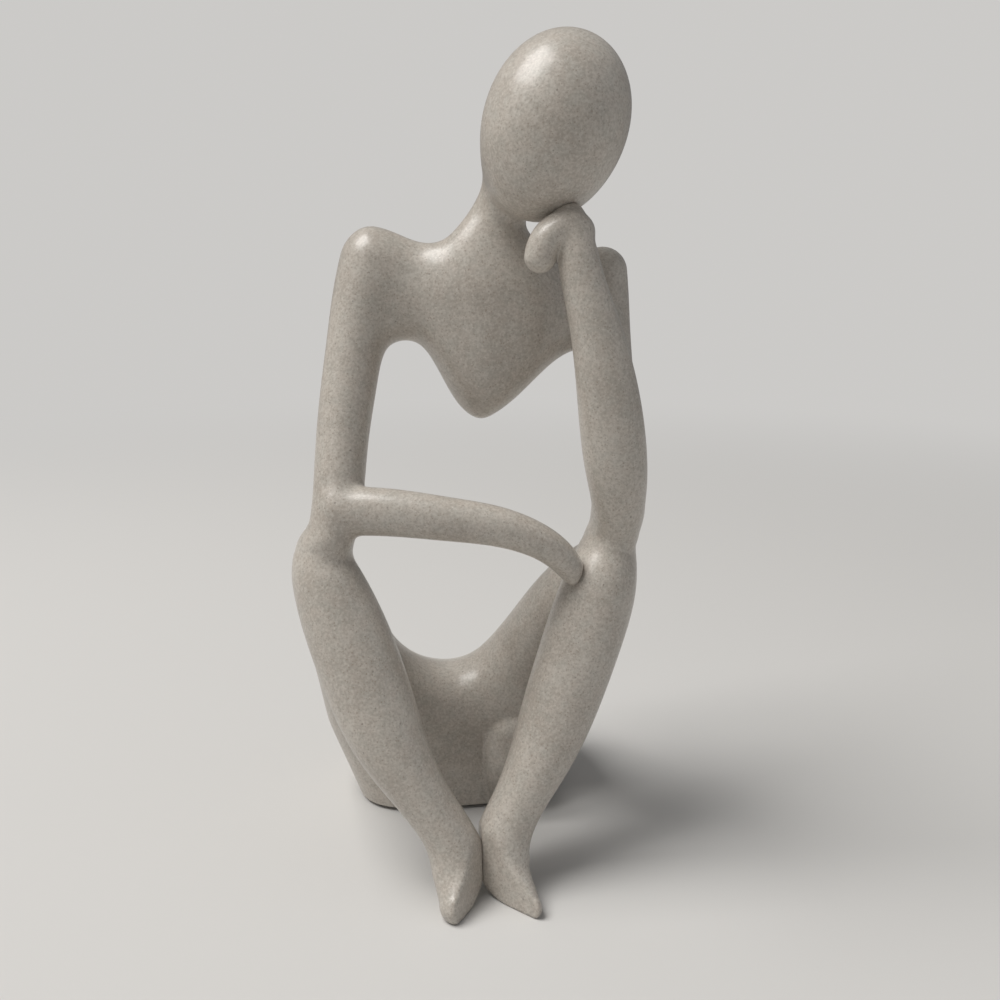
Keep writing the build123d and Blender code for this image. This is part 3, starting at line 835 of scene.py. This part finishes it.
def foot_trims(s, side):
    """Planes that trim one foot: the slant of its toe, the line between the feet and the floor."""
    point, facing = TOE_SLANTS[side]
    web = (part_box("left_leg")[0].x, 0, 0)
    inward = 1.0 if side == "right" else -1.0
    return (
        (point, Vector(facing).normalized(), s.toe_round, FOOT_ENDS),
        (web, (inward, 0.0, 0.0), WEB_ROUND, FOOT_ENDS),
        ((0, 0, 0), (0.0, 0.0, -1.0), s.sole_round, ()),
    )


class Signal:
    """An output of a node that takes part in plain sums."""

    def __init__(self, nodes, socket):
        self.nodes, self.socket = nodes, socket

    def also(self, output):
        """Another output of the same node."""
        return Signal(self.nodes, self.socket.node.outputs[output])

    def __add__(self, other):
        return self.nodes.sum("ADD", self, other)

    def __sub__(self, other):
        return self.nodes.sum("SUBTRACT", self, other)

    def __rsub__(self, other):
        return self.nodes.sum("SUBTRACT", other, self)

    def __mul__(self, other):
        return self.nodes.sum("MULTIPLY", self, other)

    __radd__ = __add__
    __rmul__ = __mul__


class Nodes:
    """A tree of nodes that are written as expressions."""

    def __init__(self, tree):
        self.tree = tree
        tree.nodes.clear()

    def node(self, kind, inputs=None, output=0, **settings):
        """Add one node: its settings first, then the values or links of its inputs."""
        made = self.tree.nodes.new(kind)
        for name, value in settings.items():
            setattr(made, name, value)
        for name, value in (inputs or {}).items():
            if isinstance(value, Signal):
                self.tree.links.new(value.socket, made.inputs[name])
            else:
                made.inputs[name].default_value = value
        return Signal(self, made.outputs[output]) if len(made.outputs) else None

    def sum(self, operation, *values):
        """One plain sum of numbers or signals."""
        return self.node("ShaderNodeMath", dict(enumerate(values)), operation=operation)


class Paint(Nodes):
    """A material laid on a piece's own coordinates."""

    def __init__(self, name):
        self.material = bpy.data.materials.new(name)
        self.material.use_nodes = True
        super().__init__(self.material.node_tree)
        self.place = self.node("ShaderNodeTexCoord").also("Object")

    def mixed(self, amount, first, second):
        """One colour over another, by an amount."""
        inputs = {0: amount, 6: self.opaque(first), 7: self.opaque(second)}
        return self.node("ShaderNodeMix", inputs, 2, data_type="RGBA", clamp_factor=True)

    def opaque(self, value):
        """A plain colour with its fourth number, or a linked one as it is."""
        return value if isinstance(value, Signal) else (*value, 1.0)

    def ranged(self, value, low, high):
        """An eased step from nought at low to one at high."""
        inputs = {"Value": value, "From Min": low, "From Max": high}
        return self.node("ShaderNodeMapRange", inputs, interpolation_type="SMOOTHSTEP")

    def noise(self, scale, detail, roughness=0.5, distortion=0.0):
        """Soft noise, with so many waves to the metre."""
        return self.node("ShaderNodeTexNoise", {
            "Vector": self.place, "Scale": scale, "Detail": detail,
            "Roughness": roughness, "Distortion": distortion,
        })

    def specks(self, spacing, smallest, largest, share_shown):
        """Round specks of random size, one at most in each cell, as a mask from nought to one."""
        rim, soft = (-0.03, 0.05), 0.01
        inputs = {"Vector": self.place, "Scale": 1 / spacing, "Randomness": 1.0}
        distance = self.node("ShaderNodeTexVoronoi", inputs)
        chance = self.node("ShaderNodeSeparateColor", {0: distance.also("Color")})
        radius = chance * ((largest - smallest) / spacing) + smallest / spacing
        shown = self.ranged(chance.also("Green"), 1 - share_shown - soft, 1 - share_shown + soft)
        return self.ranged(radius - distance, *rim) * shown

    def surface(self, colour_of, roughness, height, strength, depth, **others):
        """The shader itself, with a small relief, and its output."""
        bump = self.node("ShaderNodeBump", {"Strength": strength, "Distance": depth, "Height": height})
        inputs = {"Base Color": colour_of, "Roughness": roughness, "Normal": bump}
        inputs.update({name.replace("_", " "): value for name, value in others.items()})
        shader = self.node("ShaderNodeBsdfPrincipled", inputs)
        self.node("ShaderNodeOutputMaterial", {"Surface": shader})
        return self.material


def resin_material():
    """Warm grey cast resin, clouded and speckled like sandstone, under a satin clear coat."""
    existing = bpy.data.materials.get("speckled_resin")
    if existing:
        return existing
    finish = bpy.context.scene.statue_finish
    paint = Paint("speckled_resin")
    cloud = paint.noise(1 / finish.cloud_size, 3.0, 0.55)
    patch = paint.noise(4 / finish.cloud_size, 2.0)
    mottle = paint.noise(1 / (finish.grain_size * 2.4), 2.0, 0.6)
    grain = paint.noise(1 / finish.grain_size, 3.0, 0.6)
    body = paint.mixed(paint.ranged(cloud, 0.35, 0.70), finish.resin_dark, finish.resin_pale)
    body = paint.mixed(0.58, body, finish.resin)
    # Each noise: where its step lies, and the strength and colour over it and under it.
    for noise, low, high, over, colour_over, under, colour_under in (
        (patch, 0.45, 0.72, 0.35, finish.resin_warm, 0.35, finish.resin_cool),
        (mottle, 0.50, 0.68, 0.30, finish.resin_pale, 0.32, finish.resin_dark),
        (grain, 0.50, 0.66, 0.55, finish.resin_pale, 0.58, finish.resin_dark),
    ):
        body = paint.mixed(paint.ranged(noise, low, high) * over, body, colour_over)
        body = paint.mixed(paint.ranged(1 - noise, low, high) * under, body, colour_under)
    # Each kind of speck: spacing, smallest and largest radius, share shown, strength and colour.
    for spacing, smallest, largest, share_shown, strength, tint in (
        (finish.fleck_spacing * 1.2, 0.00010, 0.00025, 0.50, 0.30, finish.speck_pale),
        (finish.fleck_spacing, 0.00012, 0.00028, 0.60, 0.45, finish.speck_brown),
        (finish.speck_spacing * 0.7, 0.00014, 0.00036, 0.50, 0.28, finish.speck_brown),
        (finish.speck_spacing, 0.00016, 0.00034, 0.16, 0.42, finish.speck_dark),
    ):
        body = paint.mixed(paint.specks(spacing, smallest, largest, share_shown) * strength, body, tint)
    rough = finish.gloss + (grain - 0.5) * 0.10 + (cloud - 0.5) * 0.08
    return paint.surface(
        body, rough, grain * 0.5 + patch * 0.5, 0.10, 0.0002,
        Coat_Weight=0.35, Coat_Roughness=0.20, Coat_IOR=1.48, IOR=1.48,
    )


def steel_material():
    """Drawn steel wire, with fine stains and scratches."""
    steel = bpy.context.scene.statue_finish.steel
    paint = Paint("drawn_steel")
    lines = paint.noise(3000.0, 3.0)
    stain = paint.noise(220.0, 2.0)
    tint = paint.mixed(paint.ranged(stain, 0.35, 0.75), steel, [value * 0.7 for value in steel])
    return paint.surface(tint, lines * 0.2 + 0.25, lines, 0.15, 0.0001, Metallic=1.0)


def felt_material():
    """Thick black felt with a matted, fibrous face."""
    felt = bpy.context.scene.statue_finish.felt
    paint = Paint("black_felt")
    mat = paint.noise(1400.0, 5.0, 0.7, 1.5)
    wear = paint.noise(160.0, 2.0)
    lit = [min(1.0, value * 2.6) for value in felt]
    tint = paint.mixed(paint.ranged(mat, 0.40, 0.75), felt, lit)
    tint = paint.mixed(paint.ranged(wear, 0.45, 0.80) * 0.3, tint, lit)
    return paint.surface(tint, 0.95, mat, 0.6, 0.0003, Sheen_Weight=0.3, Sheen_Roughness=0.6)


class STATUE_OT_head(Operator):
    """Model the blank egg of the head with the top of the neck"""

    bl_idname = "statue.head"
    bl_label = "Head"

    def execute(self, context):
        point, towards = neck_seam(context.scene.statue_sizes)
        casting("head", [(point, towards, None)])
        return {"FINISHED"}


class STATUE_OT_torso(Operator):
    """Model the shield of the chest with the neck"""

    bl_idname = "statue.torso"
    bl_label = "Torso"

    def execute(self, context):
        low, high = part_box("torso")
        point, towards = neck_seam(context.scene.statue_sizes)
        casting("torso", [(point, -towards, None), seam("x", low.x, 1), seam("x", high.x, -1)])
        return {"FINISHED"}


class STATUE_OT_arms(Operator):
    """Model the right arm with its hand, the left upper arm and the left forearm with its fist"""

    bl_idname = "statue.arms"
    bl_label = "Arms"

    def execute(self, context):
        elbow = context.scene.statue_sizes.elbow_height
        low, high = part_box("torso")

        def above_elbow(place):
            return place.z > elbow + ABOVE_ELBOW

        def by_right_elbow(place):
            return place.x < RIGHT_ELBOW_END

        cuts = [seam("x", low.x, -1, above_elbow), seam("z", elbow, 1, by_right_elbow)]
        casting("right_arm", cuts, [(*HAND_END, HAND_ROUND, ())])
        fork = Vector(FORK_FACING)
        fork_point = (0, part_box("left_upper_arm")[0].y, elbow)
        cuts = [seam("x", high.x, 1, above_elbow), seam("z", elbow, 1), (fork_point, fork, None)]
        casting("left_upper_arm", cuts)
        casting("left_forearm", [seam("z", elbow, 1), (fork_point, -fork, None)], against="egg")
        return {"FINISHED"}


class STATUE_OT_legs(Operator):
    """Model each shin with its foot"""

    bl_idname = "statue.legs"
    bl_label = "Legs"

    def execute(self, context):
        sizes = context.scene.statue_sizes
        for side in ("right", "left"):
            node = side + "_leg"
            cuts = [seam("z", sizes.elbow_height, -1), seam("y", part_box(node)[1].y, -1)]
            casting(node, cuts, foot_trims(sizes, side))
        return {"FINISHED"}


class STATUE_OT_seat(Operator):
    """Model the seat block with both thighs"""

    bl_idname = "statue.seat"
    bl_label = "Seat"

    def execute(self, context):
        casting("seat", [
            seam("z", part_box("seat")[0].z, 1),
            seam("z", context.scene.statue_sizes.elbow_height, -1),
            seam("y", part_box("right_leg")[1].y, 1, lambda place: place.x < 0),
            seam("y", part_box("left_leg")[1].y, 1, lambda place: place.x > 0),
        ])
        return {"FINISHED"}


class STATUE_OT_pad(Operator):
    """Model the felt pad under the seat, with loose fibres round its edge"""

    bl_idname = "statue.pad"
    bl_label = "Felt pad"

    def execute(self, context):
        settings = context.scene.statue_pad
        base = pad_block(*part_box("seat_pad"), settings.fibre_length)
        fibre = fibre_mesh(settings.fibre_length)
        modifier = base.modifiers.new("Fibres", "NODES")
        modifier.node_group = pad_tree(felt_material())
        wanted = {"Fibre": fibre, "Fibres": settings.fibres, "Seed": settings.seed}
        for item in modifier.node_group.interface.items_tree:
            if item.name in wanted:
                modifier[item.identifier] = wanted[item.name]
        graph = context.evaluated_depsgraph_get()
        mesh = bpy.data.meshes.new_from_object(base.evaluated_get(graph))
        base.modifiers.clear()
        base.data = mesh
        bpy.data.objects.remove(fibre)
        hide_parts("seat_pad")
        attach(base, "root")
        return {"FINISHED"}


def band(bm, lower, upper, flip=False):
    """Join two rings of as many points by four-sided faces."""
    for i in range(len(lower)):
        j = (i + 1) % len(lower)
        face = (lower[i], lower[j], upper[j], upper[i])
        bm.faces.new(face[::-1] if flip else face)


def meshed(name, bm):
    """A new object in the scene from a working mesh."""
    mesh = bpy.data.meshes.new(name)
    bm.to_mesh(mesh)
    bm.free()
    return placed(name, mesh)


def pad_block(low, high, margin):
    """A thick pad with a rounded outline and a softened rim, set in by a margin."""
    bm = bmesh.new()
    middle = (low + high) / 2
    half = (high - low) / 2
    corner = PAD_CORNER_SHARE * half.y
    scale = (high.z - low.z) / PAD_LEVELS[-1][0]
    rings = []
    for height, inset in PAD_LEVELS:
        inset += margin
        ring = []
        for turn in range(PAD_POINTS):
            way = math.tau * turn / PAD_POINTS
            c, s = math.cos(way), math.sin(way)
            x = math.copysign(half.x - corner, c) + (corner - inset) * c
            y = math.copysign(half.y - corner, s) + (corner - inset) * s
            wave = PAD_WAVE * math.sin(7 * way) * math.sin(13 * way + height * 2000)
            place = (middle.x + x + wave * c, middle.y + y + wave * s, low.z + height * scale)
            ring.append(bm.verts.new(place))
        rings.append(ring)
    for lower, upper in zip(rings, rings[1:]):
        band(bm, lower, upper)
    for ring, flip in ((rings[0], True), (rings[-1], False)):
        inner = ring
        for inset_share in PAD_RING_SHARES:
            shrunk = []
            for vert in ring:
                place = vert.co.copy()
                place.x = middle.x + (place.x - middle.x) * inset_share
                place.y = middle.y + (place.y - middle.y) * inset_share
                shrunk.append(bm.verts.new(place))
            band(bm, inner, shrunk, flip)
            inner = shrunk
        bm.faces.new(inner[::-1] if flip else inner)
    bmesh.ops.recalc_face_normals(bm, faces=bm.faces)
    piece = meshed("felt_pad", bm)
    piece.data.polygons.foreach_set("use_smooth", np.ones(len(piece.data.polygons), bool))
    return piece


def fibre_mesh(reach):
    """One short bent fibre, three-sided and closed."""
    bm = bmesh.new()
    rings = []
    for share_along, bend, radius in FIBRE_RINGS:
        ring = []
        for turn in range(3):
            way = math.tau * turn / 3
            place = (radius * math.cos(way) + bend * reach, radius * math.sin(way), share_along * reach)
            ring.append(bm.verts.new(place))
        rings.append(ring)
    for lower, upper in zip(rings, rings[1:]):
        band(bm, lower, upper)
    bm.faces.new(rings[0][::-1])
    bm.faces.new(rings[-1])
    return meshed("felt_fibre", bm)


def pad_tree(felt):
    """Scatter the fibre over the upright rim of the pad, then make it all one plain mesh."""
    tree = bpy.data.node_groups.new("Felt fibres", "GeometryNodeTree")
    for name, kind in (("Geometry", "Geometry"), ("Fibre", "Object"), ("Fibres", "Int"), ("Seed", "Int")):
        tree.interface.new_socket(name, in_out="INPUT", socket_type="NodeSocket" + kind)
    tree.interface.new_socket("Geometry", in_out="OUTPUT", socket_type="NodeSocketGeometry")
    nodes = Nodes(tree)
    given = nodes.node("NodeGroupInput")
    seed = given.also("Seed")
    facing = nodes.node("GeometryNodeInputNormal")
    place = nodes.node("GeometryNodeInputPosition")
    slant = nodes.sum("ABSOLUTE", nodes.node("ShaderNodeSeparateXYZ", {0: facing}, 2))
    height = nodes.node("ShaderNodeSeparateXYZ", {0: place}, 2)
    chosen = nodes.sum("LESS_THAN", slant, 0.5) * nodes.sum("GREATER_THAN", height, FIBRE_FLOOR)
    scatter = nodes.node("GeometryNodeDistributePointsOnFaces", {
        "Mesh": given, "Selection": chosen, "Density": given.also("Fibres") * FIBRE_DENSITY, "Seed": seed,
    }, distribute_method="RANDOM")
    fibre = nodes.node("GeometryNodeObjectInfo", {"Object": given.also("Fibre")})
    tilts = {0: (-0.5, -0.5, 0.0), 1: (0.5, 0.5, math.tau), "Seed": seed}
    spin = nodes.node("FunctionNodeRandomValue", tilts, data_type="FLOAT_VECTOR")
    turned = nodes.node(
        "FunctionNodeRotateRotation", {0: scatter.also("Rotation"), 1: spin}, rotation_space="LOCAL"
    )
    size = nodes.node("FunctionNodeRandomValue", {2: 0.4, 3: 1.0, "Seed": seed}, 1, data_type="FLOAT")
    planted = nodes.node("GeometryNodeInstanceOnPoints", {
        "Points": scatter, "Instance": fibre.also("Geometry"), "Rotation": turned, "Scale": size,
    })
    joined = nodes.node("GeometryNodeJoinGeometry", {0: given})
    tree.links.new(planted.socket, joined.socket.node.inputs[0])
    real = nodes.node("GeometryNodeRealizeInstances", {0: joined})
    dyed = nodes.node("GeometryNodeSetMaterial", {"Geometry": real, "Material": felt})
    nodes.node("NodeGroupOutput", {0: dyed})
    return tree


class STATUE_OT_wires(Operator):
    """Give the hidden wires and the neck rod their drawn steel"""

    bl_idname = "statue.wires"
    bl_label = "Wires"

    def execute(self, context):
        steel = steel_material()
        for part in frame["record"]["subparts"]:
            if part["material_slot"] == "steel_wire":
                slots = frame["nodes"][part["node"]].data.materials
                slots.clear()
                slots.append(steel)
        return {"FINISHED"}


class STATUE_OT_stage(Operator):
    """Set up the floor, the lamps, the surround and the camera"""

    bl_idname = "statue.stage"
    bl_label = "Stage"

    def execute(self, context):
        scene = context.scene
        stage = scene.statue_stage
        scene.view_settings.view_transform = "Standard"
        lay_floor(stage)
        light_world(scene, stage)
        for name, (place, tint) in LAMPS.items():
            hang_lamp(name + "_lamp", place, getattr(stage, name), tint)
        camera = placed("camera", bpy.data.cameras.new("camera"))
        camera.data.sensor_width = SENSOR_WIDTH
        camera.data.lens = stage.lens
        camera.data.clip_start = 0.01
        camera.location = stage.eye
        camera.rotation_euler = (math.pi / 2 - stage.pitch, 0, stage.turn)
        scene.camera = camera
        return {"FINISHED"}


def lay_floor(stage):
    """A wide round floor that fades into the surround, so that it has no far edge."""
    bm = bmesh.new()
    bmesh.ops.create_circle(bm, cap_ends=True, segments=96, radius=FLOOR_RADIUS)
    floor = meshed("floor", bm)
    paint = Paint("pale_floor")
    away = paint.node("ShaderNodeVectorMath", {0: paint.place}, 1, operation="LENGTH")
    seen = paint.node("ShaderNodeLightPath")
    base = paint.node("ShaderNodeBsdfPrincipled", {
        "Base Color": (*stage.floor, 1.0), "Roughness": 0.9, "Specular IOR Level": 0.2,
    })
    glow = paint.node("ShaderNodeEmission", {"Color": (*stage.backdrop, 1.0), "Strength": 1.0})
    fade = paint.ranged(away, *FLOOR_FADE) * seen
    mixed = paint.node("ShaderNodeMixShader", {0: fade, 1: base, 2: glow})
    paint.node("ShaderNodeOutputMaterial", {"Surface": mixed})
    floor.data.materials.append(paint.material)


def light_world(scene, stage):
    """Even light from all round, with the plain surround that only the camera sees."""
    scene.world = bpy.data.worlds.new("surround")
    scene.world.use_nodes = True
    nodes = Nodes(scene.world.node_tree)
    seen = nodes.node("ShaderNodeLightPath")
    white, plain = (1.0, 1.0, 1.0, 1.0), (*stage.backdrop, 1.0)
    lit = nodes.node("ShaderNodeBackground", {"Color": white, "Strength": stage.world})
    shown = nodes.node("ShaderNodeBackground", {"Color": plain, "Strength": 1.0})
    mix = nodes.node("ShaderNodeMixShader", {0: seen, 1: lit, 2: shown})
    nodes.node("ShaderNodeOutputWorld", {"Surface": mix})


def hang_lamp(name, place, power, tint):
    """A square soft lamp that faces the figure's middle."""
    lamp = bpy.data.lights.new(name, "AREA")
    lamp.size = LAMP_WIDTH
    lamp.energy = power
    lamp.color = tint
    held = placed(name, lamp)
    held.location = place
    towards = Vector(LAMP_AIM) - Vector(place)
    held.rotation_euler = towards.to_track_quat("-Z", "Y").to_euler()


class STATUE_PT_panel(Panel):
    """The statue's sizes, finishes and steps in the sidebar"""

    bl_idname = "STATUE_PT_panel"
    bl_label = "Thinker statue"
    bl_space_type = "VIEW_3D"
    bl_region_type = "UI"
    bl_category = "Statue"

    def draw(self, context):
        for operator in OPERATORS:
            self.layout.operator(operator.bl_idname)
        for group in GROUPS:
            settings = getattr(context.scene, group)
            for name in settings.__annotations__:
                self.layout.prop(settings, name)


GROUPS = {
    "statue_sizes": StatueSizes,
    "statue_finish": StatueFinish,
    "statue_pad": StatuePad,
    "statue_stage": StatueStage,
}
OPERATORS = (
    STATUE_OT_stage, STATUE_OT_head, STATUE_OT_torso, STATUE_OT_arms, STATUE_OT_legs,
    STATUE_OT_seat, STATUE_OT_pad, STATUE_OT_wires,
)


def register():
    """Add the settings, the steps and the panel."""
    for name, group in GROUPS.items():
        bpy.utils.register_class(group)
        setattr(bpy.types.Scene, name, PointerProperty(type=group))
    for item in (*OPERATORS, STATUE_PT_panel):
        bpy.utils.register_class(item)


def unregister():
    """Take away the panel, the steps and the settings."""
    for item in (STATUE_PT_panel, *reversed(OPERATORS)):
        bpy.utils.unregister_class(item)
    for name, group in GROUPS.items():
        delattr(bpy.types.Scene, name)
        bpy.utils.unregister_class(group)


def main():
    """Build the whole statue."""
    register()
    bpy.ops.statue.stage()
    bpy.ops.statue.head()
    bpy.ops.statue.torso()
    bpy.ops.statue.arms()
    bpy.ops.statue.legs()
    bpy.ops.statue.seat()
    bpy.ops.statue.pad()
    bpy.ops.statue.wires()


if __name__ == "__main__":
    main()
